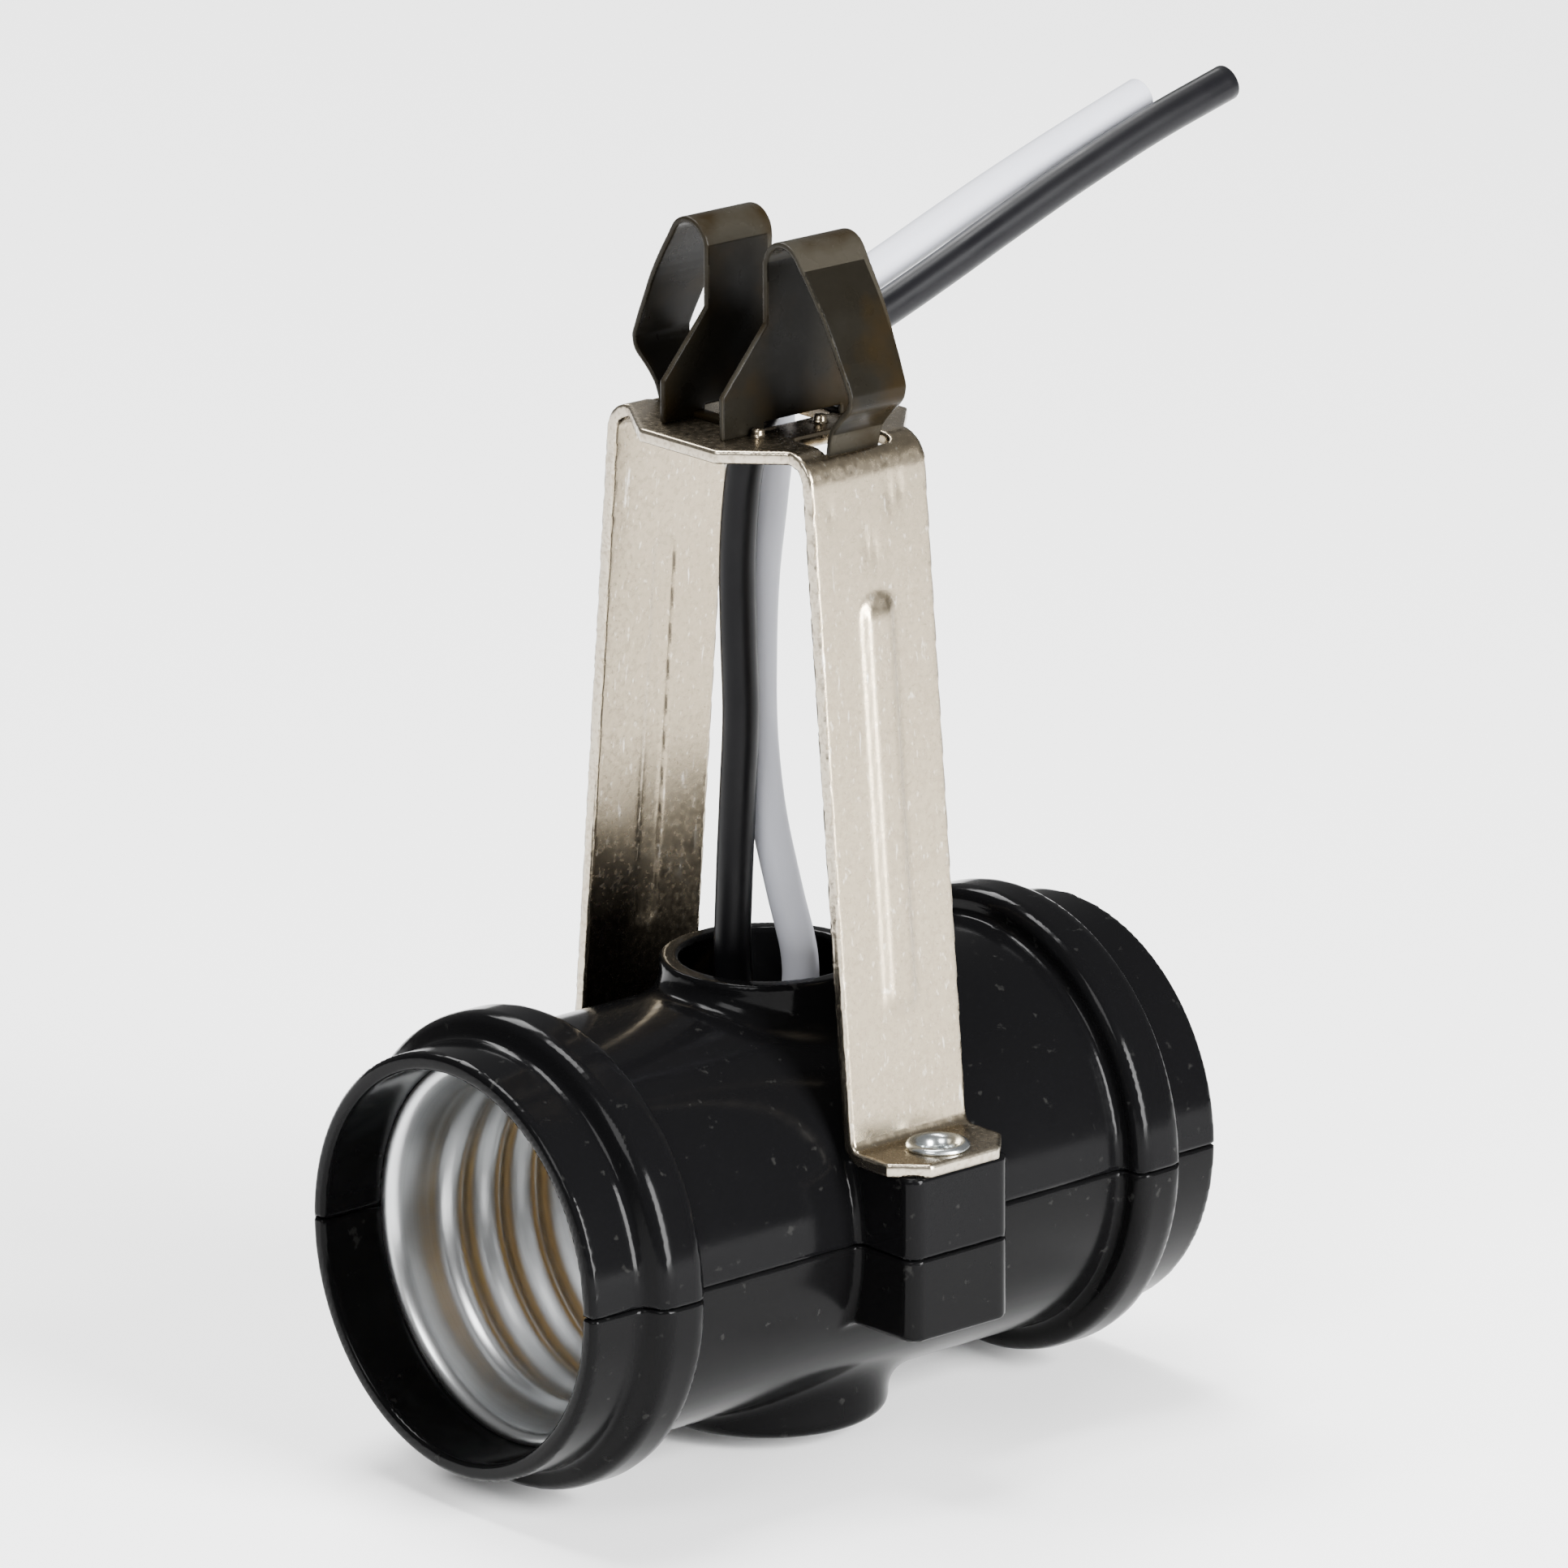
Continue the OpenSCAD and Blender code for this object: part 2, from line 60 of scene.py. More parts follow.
ARCH = (5.3, 12.5, 2.2)         # centre y, centre z and outer radius of the clip's arches
PITCH = 3.629                   # medium screw thread

LEG_OUT = 16.1                  # from the middle out to a leg's outer face at the foot
LEG_TOP_Y = LEG_OUT - math.tan(LEG_SLOPE) * -FOOT_TOP
BEND_Y = LEG_TOP_Y - BEND * (1 / math.cos(LEG_SLOPE) - math.tan(LEG_SLOPE))
FOOT_BEND_Y = LEG_OUT + FOOT_BEND * (1 - math.sin(LEG_SLOPE)) / math.cos(LEG_SLOPE)


# ---- Camera and leads -------------------------------------------------------------------------

CAMERA_AT = (-0.60402, -0.69231, 0.24707)
CAMERA_AIM = (41.185, 16.701, -0.158)  # heading, downward tilt and roll in degrees
CAMERA_LENS = 294.07


def add_camera():
    az, el, roll = (math.radians(a) for a in CAMERA_AIM)
    forward = Vector((math.sin(az) * math.cos(el), math.cos(az) * math.cos(el), -math.sin(el)))
    right = Vector((math.cos(az), -math.sin(az), 0))
    up = right.cross(forward)
    side = right * math.cos(roll) + up * math.sin(roll)
    top = up * math.cos(roll) - right * math.sin(roll)
    cam = bpy.data.objects.new("camera", bpy.data.cameras.new("camera"))
    cam.data.lens = CAMERA_LENS
    cam.data.sensor_width = 36
    cam.data.clip_start = 0.1
    cam.data.clip_end = 20
    turn = Matrix((side, top, -forward)).transposed().to_4x4()
    cam.matrix_world = Matrix.Translation(CAMERA_AT) @ turn
    bpy.context.collection.objects.link(cam)
    bpy.context.scene.camera = cam


# Middle lines of the leads, from the crimps up through the collar and out past the clip.
BLACK_ROUTE = [(0.5, 0, -66.3), (0.5, 0, -63), (0.2, 0.2, -59), (-0.6, 0.6, -54), (-1.5, 1.1, -48.5),
               (-2.1, 1.5, -42.5), (-2.2, 1.2, -36), (-2.1, 0.9, -29.5), (-2.0, 0.6, -23),
               (-2.1, 0.7, -17), (-2.1, 0.8, -11), (-2.1, 0.3, -5.6), (-2.0, -0.4, -2.2),
               (-1.3, -1.1, 0.7), (0.9, -1.45, 3.0), (4.4, -1.45, 4.6), (7.9, -1.45, 5.75),
               (11.4, -1.45, 6.9), (17, -1.45, 8.95), (22.6, -1.45, 11.1), (29.4, -1.45, 13.6),
               (37.6, -1.45, 16.3), (45.4, -1.45, 18.4)]
WHITE_ROUTE = [(1.6, 8.45, -60.2), (1.6, 8.45, -57), (1.7, 7.2, -53.4), (1.9, 4.4, -50.4), (2.0, 1.2, -48),
               (2.0, -1.2, -45.2), (1.8, -1.6, -41.8), (1.4, -0.4, -37), (0.9, 0.9, -31),
               (0.8, 1.7, -25), (0.9, 1.9, -19), (1.1, 1.8, -13), (1.4, 1.2, -7),
               (1.9, 1.0, -2), (2.1, 1.2, 1), (2.7, 1.5, 3.9), (4.9, 1.5, 6.05), (9, 1.5, 7.6),
               (14, 1.5, 9.4), (19.7, 1.5, 11.5), (25.4, 1.5, 13.5), (32, 1.5, 15.65),
               (39.2, 1.5, 17.85)]
LEAD_D = 2.8
LEAD_SIDES = 32
STRANDS_R = 0.3
# Radius of each ring at the cut end and how far it lies behind the end: insulation, then the strands.
CUT_END = ((LEAD_D / 2, 0.15), (LEAD_D / 2 - 0.05, 0.03), (LEAD_D / 2 - 0.15, 0), (0.66, 0), (0.62, 0.2),
           (STRANDS_R, 0.2))


def spline_through(points, per_span):
    """Catmull-Rom points through a chain, with its first and last point."""
    points = np.asarray(points, float)
    chain = np.vstack([2 * points[0] - points[1], points, 2 * points[-1] - points[-2]])
    out = []
    for p0, p1, p2, p3 in zip(chain, chain[1:], chain[2:], chain[3:]):
        for t in np.linspace(0, 1, per_span, endpoint=False):
            out.append(0.5 * (2 * p1 + (p2 - p0) * t + (2 * p0 - 5 * p1 + 4 * p2 - p3) * t ** 2
                              + (3 * p1 - p0 - 3 * p2 + p3) * t ** 3))
    return np.array(out + [points[-1]])


def add_lead(name, route, node):
    """A tube along the route with the bare strands showing in its cut end, and which faces are strands."""
    path = spline_through(route, 10)
    sides = LEAD_SIDES
    radius = LEAD_D / 2
    tangents = np.gradient(path, axis=0)
    tangents /= np.linalg.norm(tangents, axis=1)[:, None]
    across = np.cross(tangents[0], (0.3, 1, 0.1))
    rings = []
    around = np.linspace(0, 2 * math.pi, sides, endpoint=False)
    for i, (at, t) in enumerate(zip(path, tangents)):
        across = across - t * (across @ t)
        across /= np.linalg.norm(across)
        other = np.cross(t, across)
        circle = np.cos(around)[:, None] * across + np.sin(around)[:, None] * other
        if i == len(path) - 1:
            for r, back in CUT_END:
                rings.append(at - t * back + r * circle)
        elif i:
            rings.append(at + radius * circle)
        else:
            rings.append(at + STRANDS_R * circle)
            rings.append(at + radius * circle)
    verts = np.vstack(rings)
    faces = [(r * sides + k, r * sides + (k + 1) % sides, (r + 1) * sides + (k + 1) % sides,
              (r + 1) * sides + k) for r in range(len(rings) - 1) for k in range(sides)]
    faces = [tuple(range(sides))[::-1]] + faces + [tuple(range(len(verts) - sides, len(verts)))]
    mesh = bpy.data.meshes.new(name)
    mesh.from_pydata((verts * MM).tolist(), [], faces)
    mesh.polygons.foreach_set("use_smooth", [True] * len(faces))
    core = np.zeros(len(faces), int)
    core[-2 * sides - 1:] = 1
    lead = bpy.data.objects.new(name, mesh)
    bpy.context.collection.objects.link(lead)
    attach(lead, "fixture")
    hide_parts(node)
    return lead, core


add_camera()
black_lead = add_lead("lead_black", BLACK_ROUTE, "black_lead")
white_lead = add_lead("lead_white", WHITE_ROUTE, "white_lead")


# ---- Distance fields and the mesher -----------------------------------------------------------

def smooth_min(a, b, k):
    h = np.clip(0.5 + 0.5 * (b - a) / k, 0, 1)
    return b + (a - b) * h - k * h * (1 - h)


def smooth_max(a, b, k):
    return -smooth_min(-a, -b, k)


def polygon_distance(u, v, points):
    """Signed distance from (u, v) to a closed polygon, negative inside."""
    best = np.full(u.shape, 1e9)
    inside = np.zeros(u.shape, bool)
    for (ax, ay), (bx, by) in zip(points, points[1:] + points[:1]):
        ex, ey = bx - ax, by - ay
        t = np.clip(((u - ax) * ex + (v - ay) * ey) / (ex * ex + ey * ey), 0, 1)
        best = np.minimum(best, (u - ax - t * ex) ** 2 + (v - ay - t * ey) ** 2)
        if ey:
            inside ^= ((ay > v) != (by > v)) & (u < ax + (v - ay) * ex / ey)
    return np.where(inside, -1, 1) * np.sqrt(best)


def rounded_cylinder(radial, along, radius, low, high, rounding):
    """Distance to a cylinder with rounded rims, from the distances to and along its axis."""
    q = np.stack([radial - radius + rounding, np.abs(along - (low + high) / 2) - (high - low) / 2 + rounding])
    return np.hypot(*np.maximum(q, 0)) + np.minimum(q.max(axis=0), 0) - rounding


def lattice_noise(p, scale, seed):
    """Smooth value noise from -1 to 1 on a lattice of the given spacing, the same on every run."""
    q = p / scale
    base = np.floor(q).astype(np.int64)
    f = q - base
    f = f * f * (3 - 2 * f)
    total = np.zeros(len(p))
    for corner in range(8):
        offset = np.array([corner & 1, corner >> 1 & 1, corner >> 2 & 1])
        cell = base + offset
        h = (cell[:, 0] * 73856093) ^ (cell[:, 1] * 19349663) ^ (cell[:, 2] * 83492791) ^ (seed * 2654435)
        h = (h ^ (h >> 13)) * 1274126177
        value = ((h >> 8) & 0xFFFF) / 32767.5 - 1
        total += value * np.prod(np.where(offset, f, 1 - f), axis=1)
    return total


BLOCK = 8      # cells along a block; only blocks that the surface can cross are worked out in full
SETTLING = 3   # moves of each vertex onto the surface


def mesh_field(field, low, high, step):
    """Surface nets over the cells where the field changes sign, then a few steps onto the surface."""
    low = np.array(low, float)
    blocks = np.ceil((np.array(high) - low) / step / BLOCK).astype(int) + 1
    centres = np.stack(np.meshgrid(*[np.arange(n) for n in blocks], indexing="ij"), -1).reshape(-1, 3)
    at_centre = field(low + (centres * BLOCK + (BLOCK - 1) / 2) * step)
    near = np.abs(at_centre) < (BLOCK + 1) * step
    grid = at_centre.reshape(blocks)
    for axis in range(3):
        grid = np.repeat(grid, BLOCK, axis)
    inner = np.stack(np.meshgrid(*[np.arange(BLOCK)] * 3, indexing="ij"), -1).reshape(-1, 3)
    index = (centres[near][:, None] * BLOCK + inner[None]).reshape(-1, 3)
    grid[tuple(index.T)] = field(low + index * step)
    size = np.array(grid.shape)
    sums = np.zeros((grid.size, 3))
    count = np.zeros(grid.size)
    strides = np.array([size[1] * size[2], size[2], 1])
    quads = []
    for axis in range(3):
        a = np.take(grid, range(size[axis] - 1), axis)
        b = np.take(grid, range(1, size[axis]), axis)
        cross = np.argwhere((a < 0) != (b < 0))
        others = [i for i in range(3) if i != axis]
        cross = cross[(cross[:, others[0]] > 0) & (cross[:, others[1]] > 0)]
        da, db = a[tuple(cross.T)], b[tuple(cross.T)]
        where = cross.astype(float)
        where[:, axis] += da / (da - db)
        flat = cross @ strides
        s1, s2 = strides[others[0]], strides[others[1]]
        cells = np.stack([flat, flat - s1, flat - s1 - s2, flat - s2], 1)
        for c in cells.T:
            np.add.at(sums, c, where)
            np.add.at(count, c, 1)
        flip = (da < 0) ^ (axis == 1)
        quads.append(np.where(flip[:, None], cells, cells[:, ::-1]))
    quads = np.concatenate(quads)
    used, quads = np.unique(quads, return_inverse=True)
    quads = quads.reshape(-1, 4)
    verts = low + sums[used] / count[used, None] * step
    tiny = step * 0.1
    for _ in range(SETTLING):
        value = field(verts)
        slope = np.stack([field(verts + d) - field(verts - d) for d in np.eye(3) * tiny], 1) / (2 * tiny)
        push = slope * (value / np.maximum((slope ** 2).sum(1), 0.25))[:, None]
        verts = verts - np.clip(push, -0.5 * step, 0.5 * step)
    return verts, quads


def add_mesh(name, verts, faces, body, materials, replaces=(), pick=None):
    """Makes a piece from vertices in millimetres. pick gives each face's material from its centre."""
    mesh = bpy.data.meshes.new(name)
    mesh.from_pydata((np.asarray(verts) * MM).tolist(), [], [list(map(int, f)) for f in faces])
    mesh.polygons.foreach_set("use_smooth", [True] * len(mesh.polygons))
    for material in materials:
        mesh.materials.append(material)
    if pick is not None:
        centres = np.array([p.center for p in mesh.polygons]) / MM
        mesh.polygons.foreach_set("material_index", pick(centres).astype(int))
    mesh.validate()
    piece = bpy.data.objects.new(name, mesh)
    bpy.context.collection.objects.link(piece)
    if body:
        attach(piece, body)
    if replaces:
        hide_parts(*replaces)
    return piece


# ---- Materials --------------------------------------------------------------------------------

class Surface:
    """A Principled material with helpers for procedural detail in object space, sized in millimetres."""

    def __init__(self, name, color, roughness, metallic=0.0, **values):
        self.material = bpy.data.materials.new(name)
        self.material.use_nodes = True
        self.tree = self.material.node_tree
        self.shader = self.tree.nodes["Principled BSDF"]
        self.put("Base Color", (*color, 1))
        self.put("Roughness", roughness)
        self.put("Metallic", metallic)
        for key, value in values.items():
            self.put(key.replace("_", " "), value)
        self.coords = self.tree.nodes.new("ShaderNodeTexCoord").outputs["Object"]
        self.height = None

    def put(self, socket, value):
        self.shader.inputs[socket].default_value = value

    def link(self, a, b):
        self.tree.links.new(a, b)

    def stretched(self, scale):
        mapping = self.tree.nodes.new("ShaderNodeMapping")
        mapping.inputs["Scale"].default_value = scale
        self.link(self.coords, mapping.inputs["Vector"])
        return mapping.outputs["Vector"]

    def noise(self, size_mm, detail=3.0, stretch=None, roughness=0.5):
        node = self.tree.nodes.new("ShaderNodeTexNoise")
        node.inputs["Scale"].default_value = 1000 / size_mm
        node.inputs["Detail"].default_value = detail
        node.inputs["Roughness"].default_value = roughness
        self.link(self.stretched(stretch) if stretch else self.coords, node.inputs["Vector"])
        return node.outputs["Fac"]

    def cells(self, size_mm):
        node = self.tree.nodes.new("ShaderNodeTexVoronoi")
        node.inputs["Scale"].default_value = 1000 / size_mm
        self.link(self.coords, node.inputs["Vector"])
        return node.outputs["Distance"]

    def spread(self, fac, low, high, to_low=0.0, to_high=1.0):
        node = self.tree.nodes.new("ShaderNodeMapRange")
        for key, value in (("From Min", low), ("From Max", high), ("To Min", to_low), ("To Max", to_high)):
            node.inputs[key].default_value = value
        self.link(fac, node.inputs["Value"])
        return node.outputs["Result"]

    def tint(self, fac, color):
        """Mixes a colour over what the base already has, by fac."""
        node = self.tree.nodes.new("ShaderNodeMix")
        node.data_type = "RGBA"
        base = self.shader.inputs["Base Color"]
        if base.is_linked:
            self.link(base.links[0].from_socket, node.inputs["A"])
        else:
            node.inputs["A"].default_value = base.default_value
        node.inputs["B"].default_value = (*color, 1)
        self.link(fac, node.inputs["Factor"])
        self.link(node.outputs["Result"], base)

    def vary_roughness(self, fac, low, high):
        self.link(self.spread(fac, 0.3, 0.7, low, high), self.shader.inputs["Roughness"])

    def bump(self, fac, depth_mm):
        node = self.tree.nodes.new("ShaderNodeBump")
        node.inputs["Distance"].default_value = depth_mm * MM
        node.inputs["Strength"].default_value = 1.0
        self.link(fac, node.inputs["Height"])
        if self.height is not None:
            self.link(self.height, node.inputs["Normal"])
        self.height = node.outputs["Normal"]
        self.link(self.height, self.shader.inputs["Normal"])


def phenolic(name, color, roughness):
    """Moulded phenolic: a gloss that waves a little, pale dust specks and small pits."""
    s = Surface(name, color, roughness, Specular_IOR_Level=0.05)
    s.vary_roughness(s.noise(6, 4), roughness, roughness + 0.10)
    s.tint(s.spread(s.noise(1.1, 5), 0.66, 0.72, 0, 0.5), (0.016, 0.016, 0.015))
    s.bump(s.noise(2.6, 2), 0.006)
    s.bump(s.noise(0.35, 3), 0.0022)
    s.bump(s.spread(s.cells(3.1), 0.0, 0.03, 1, 0), 0.01)
    return s.material


def nickel(name, color, roughness, grain):
    """Barrel-plated nickel: large dull clouds, fine mottling, painted sparkle flecks and pale scuffs along
    the leg brightened as painted highlights.
    """
    s = Surface(name, color, roughness, metallic=1.0)
    s.vary_roughness(s.noise(0.5, 4), roughness - 0.04, roughness + 0.06)
    s.tint(s.spread(s.noise(14, 2), 0.42, 0.72, 0, 0.45), (0.245, 0.202, 0.140))
    s.tint(s.spread(s.noise(0.5, 4, roughness=0.7), 0.46, 0.66, 0, 0.45), (0.20, 0.168, 0.118))
    # painted sparkle: pale fine flecks that stand in for glints of light on the plating
    s.tint(s.spread(s.noise(0.35, 3, (1, 1, 0.5)), 0.62, 0.72, 0, 0.35), (0.80, 0.76, 0.66))
    # pale scuffs along the leg: real wear, painted near-white as highlights
    s.tint(s.spread(s.noise(0.9, 3, (1.6, 1.6, 0.22)), 0.68, 0.76, 0, 0.45), (0.92, 0.89, 0.82))
    s.bump(s.noise(0.35, 4, roughness=0.6), grain)
    s.bump(s.noise(2.5, 3), grain * 1.5)
    return s.material


def sheared(name, color):
    """The bracket's cut edges, where the metal tore."""
    s = Surface(name, color, 0.24, metallic=1.0)
    s.tint(s.spread(s.noise(0.35, 3), 0.50, 0.62, 0, 0.6), (0.24, 0.20, 0.15))
    s.bump(s.noise(0.35, 3), 0.015)
    return s.material


def blued(name, color, roughness):
    """Heat-blackened spring steel with brown stains."""
    s = Surface(name, color, roughness, Specular_IOR_Level=0.045)
    s.vary_roughness(s.noise(2.5, 4), roughness - 0.03, roughness + 0.10)
    s.tint(s.spread(s.noise(4.5, 4), 0.46, 0.70, 0, 0.9), (0.0085, 0.0055, 0.0020))
    s.tint(s.spread(s.noise(0.3, 4), 0.70, 0.78, 0, 0.5), (0.020, 0.018, 0.014))
    s.bump(s.noise(0.4, 3), 0.0015)
    return s.material


def stamped(name, color, roughness):
    s = Surface(name, color, roughness, metallic=1.0)
    s.vary_roughness(s.noise(1.0, 4), roughness - 0.05, roughness + 0.10)
    s.tint(s.spread(s.noise(2.2, 4), 0.5, 0.75, 0, 0.35), tuple(c * 0.6 for c in color))
    s.bump(s.noise(0.25, 4), 0.004)
    return s.material


def rolled(name, color, roughness):
    """Rolled or drawn metal: fine lines that run around the axis."""
    s = Surface(name, color, roughness, metallic=1.0)
    s.vary_roughness(s.noise(4, 2), roughness - 0.02, roughness + 0.04)
    s.tint(s.spread(s.noise(0.25, 3, (1, 0, 0)), 0.45, 0.75, 0, 0.35), tuple(c * 0.75 for c in color))
    s.bump(s.noise(0.3, 2, (1, 0, 0)), 0.0010)
    return s.material


def insulation(name, color, dark, roughness, shine):
    s = Surface(name, color, roughness, Specular_IOR_Level=shine)
    s.vary_roughness(s.noise(4, 3), roughness - 0.04, roughness + 0.08)
    s.tint(s.spread(s.noise(9, 3), 0.4, 0.8, 0, 0.5), dark)
    s.bump(s.noise(1.6, 3), 0.008)
    s.bump(s.noise(0.2, 2), 0.0015)
    return s.material


def fibre(name, color):
    s = Surface(name, color, 0.75)
    s.tint(s.spread(s.noise(0.6, 6), 0.4, 0.7, 0, 0.6), tuple(c * 0.5 for c in color))
    s.bump(s.noise(0.3, 5), 0.02)
    return s.material


UPPER_BLACK = phenolic("phenolic_upper", (0.0022, 0.0022, 0.0024), 0.09)
LOWER_BLACK = phenolic("phenolic_lower", (0.0020, 0.0020, 0.0021), 0.13)
NICKEL = nickel("nickel_plate", (0.30, 0.252, 0.180), 0.24, 0.005)
NICKEL_EDGE = sheared("nickel_sheared_edge", (0.42, 0.37, 0.29))
SPRING = blued("blued_spring_steel", (0.0045, 0.0039, 0.0027), 0.27)
# paler colour on the clip's edges: a painted highlight along each edge of the blackened steel
SPRING_EDGE_HIGHLIGHT = blued("blued_edge_painted_highlight", (0.018, 0.016, 0.012), 0.24)
ALUMINIUM = rolled("rolled_aluminium", (0.48, 0.49, 0.495), 0.30)
ZINC = rolled("bright_zinc", (0.52, 0.55, 0.555), 0.22)
BRASS = stamped("stamped_brass", (0.76, 0.52, 0.17), 0.28)
COPPER = stamped("copper_strand", (0.80, 0.36, 0.18), 0.32)
FIBRE = fibre("varnished_fibre", (0.46, 0.28, 0.09))
BLACK_PVC = insulation("black_pvc", (0.0035, 0.0035, 0.0042), (0.006, 0.006, 0.0065), 0.34, 0.09)
# white insulation greyed and tinted blue all over: painted shade, not the lead's own colour
WHITE_PVC_PAINTED_SHADE = insulation("white_pvc", (0.42, 0.43, 0.475), (0.38, 0.39, 0.44), 0.42, 0.20)


# ---- Body shells ------------------------------------------------------------------------------

# Outline of half the barrel with its ring, and of the room inside: distance along the axis, radius.
RING = [(0, -5), (31.0, -5), (31.2, 15.6), (31.2, 15.95), (30.9, 16.3), (27.0, 16.35), (26.5, 16.55),
        (26.25, 17.1), (26.0, 17.7), (25.5, 18.12), (24.9, 18.25), (22.7, 18.25), (22.1, 18.1),
        (21.75, 17.75), (21.6, 17.3), (21.6, 16.6), (21.4, 16.2), (21.0, 16.07), (0, 16.05)]
HOLLOW = [(-1, -5), (45, -5), (45, 15.3), (31.4, 15.1), (30.9, 14.95), (25.2, 14.85), (25.2, 13.9),
          (5.2, 13.9), (5.2, 12.2), (-1, 12.2)]
COLLAR_R, COLLAR_BORE, COLLAR_TOP = 8.15, 6.65, 17.9
BOSS_R, BOSS_LOW = 9.1, -17.78
EAR_HALF_X, EAR_REACH, EAR_HALF_Z, EAR_ROUND = 5.0, 22.0, 6.4, 1.2
SEAM_GAP = 0.03
FLASH_HEIGHT, FLASH_REACH = 0.16, 0.28
SHELL_STEP = 0.32


def body_field(p, half):
    """Distance to the upper (half 1) or lower (half -1) moulding."""
    x, y, z = p.T[0], p.T[1], p.T[2] - AXIS_Z
    ax, radial = np.abs(x), np.hypot(y, z)
    upright = np.hypot(x, y)
    d = polygon_distance(ax, radial, RING)
    d = smooth_min(d, rounded_cylinder(upright, z, COLLAR_R, 0, COLLAR_TOP, 0.3), 1.7)
    d = smooth_min(d, rounded_cylinder(upright, z, BOSS_R, BOSS_LOW, 0, 0.9), 1.8)
    ear_x = np.abs(x) - EAR_HALF_X + EAR_ROUND
    ear_y = np.abs(y) - EAR_REACH + EAR_ROUND
    corner = np.hypot(np.maximum(ear_x, 0), np.maximum(ear_y, 0))
    plan = corner + np.minimum(np.maximum(ear_x, ear_y), 0) - EAR_ROUND
    ear = smooth_max(plan, np.abs(z) - EAR_HALF_Z, 0.35)
    d = smooth_min(d, ear, 0.8)
    d = smooth_max(d, -polygon_distance(ax, radial, HOLLOW), 0.22)
    if half > 0:
        d = smooth_max(d, COLLAR_BORE - upright + 0.05 * np.clip(z - 17.3, 0, 1), 0.25)
    d = smooth_max(d, EYELET_HOLE - np.hypot(x, np.abs(y) - EYELET_Y), 0.1)
    wander = 0.035 * lattice_noise(p * [1, 1, 0], 1.7, 5) + 0.02 * lattice_noise(p * [1, 1, 0], 0.5, 6)
    seam = half * (z - wander)
    flash = np.clip(lattice_noise(p * [1, 1, 0.3], 0.8, 7 + int(half)) - 0.1, 0, 1)
    patch = np.clip(lattice_noise(p * [1, 1, 0], 6.0, 12) + 0.15, 0, 1)
    d = d - FLASH_HEIGHT * flash * patch * np.exp(-(seam / FLASH_REACH) ** 2)
    return smooth_max(d, SEAM_GAP - seam, 0.10)


def add_shells():
    for name, half, material in (("shell_top_moulding", 1, UPPER_BLACK),
                                 ("shell_bottom_moulding", -1, LOWER_BLACK)):
        low = [-31.8, -22.6, AXIS_Z - 1 if half > 0 else AXIS_Z - 19]
        high = [31.8, 22.6, AXIS_Z + 19 if half > 0 else AXIS_Z + 1]
        verts, quads = mesh_field(lambda p: body_field(p, half), low, high, SHELL_STEP)
        node = "upper_shell" if half > 0 else "lower_shell"
        add_mesh(name, verts, quads, "fixture", [material], [node])


add_shells()


# ---- Screw shells -----------------------------------------------------------------------------

SHELL_BORE = 13.25
SHELL_SHEET = 0.4
THREAD_HALF_DEPTH = 0.375
SHELL_TURNS = 180


def screw_profile():
    """Closed outline of the shell's metal: distance along the axis, radius, share of the thread's depth."""
    inner = [(25.62, 14.88, 0), (25.70, 14.80, 0), (25.70, 14.50, 0), (25.62, 14.15, 0), (25.40, 13.88, 0),
             (24.9, 13.62, 0), (24.3, 13.42, 0), (23.6, 13.28, 0)]
    for x in np.linspace(23.2, 7.2, 110):
        share = min(1, max(0, (22.6 - x) / 1.6), max(0, (x - 7.3) / 1.2))
        inner.append((x, SHELL_BORE, share))
    inner += [(6.7, 13.1, 0), (6.45, 12.8, 0), (6.4, 12.4, 0), (6.4, 11.2, 0), (6.0, 11.2, 0), (6.0, 13.3, 0)]
    outer = [(x, r + SHELL_SHEET, s) for x, r, s in reversed(inner[8:-6])]
    outer += [(23.6, 13.62, 0), (24.6, 13.8, 0), (25.2, 14.3, 0), (25.25, 14.75, 0)]
    return inner + outer


def add_screw_shells():
    profile = screw_profile()
    turns = SHELL_TURNS
    for side, name, node in ((-1, "lamp_thread_left", "left_screw_shell"),
                             (1, "lamp_thread_right", "right_screw_shell")):
        verts = []
        for i in range(turns):
            angle = 2 * math.pi * i / turns
            for x, r, share in profile:
                phase = (x / PITCH - side * angle / (2 * math.pi)) * 2 * math.pi
                depth = THREAD_HALF_DEPTH * (1 - math.cos(phase)) * share
                depth = depth ** 1.15 if depth > 0 else 0
                rr = r - depth
                verts.append((side * x, rr * math.cos(angle), AXIS_Z + rr * math.sin(angle)))
        n = len(profile)
        faces = []
        for i in range(turns):
            j = (i + 1) % turns
            for k in range(n):
                m = (k + 1) % n
                quad = (i * n + k, i * n + m, j * n + m, j * n + k)
                faces.append(quad if side > 0 else quad[::-1])
        add_mesh(name, verts, faces, "fixture", [ALUMINIUM], [node])


add_screw_shells()


# ---- Bracket ----------------------------------------------------------------------------------

# Distances along the middle of the strap's metal, from the middle of the top plate to the end of a foot.
LEG_LEN = ((BEND_Y - FOOT_BEND_Y) * -math.sin(LEG_SLOPE)
           + (-BEND - FOOT_TOP - FOOT_BEND) * math.cos(LEG_SLOPE))
MID = SHEET / 2
TURN = math.pi / 2 - LEG_SLOPE
S_BEND = BEND_Y
S_LEG = S_BEND + (BEND - MID) * TURN
S_LOW = S_LEG + LEG_LEN
S_FOOT = S_LOW + (FOOT_BEND + MID) * TURN
S_END = S_FOOT + FOOT_REACH - FOOT_BEND_Y


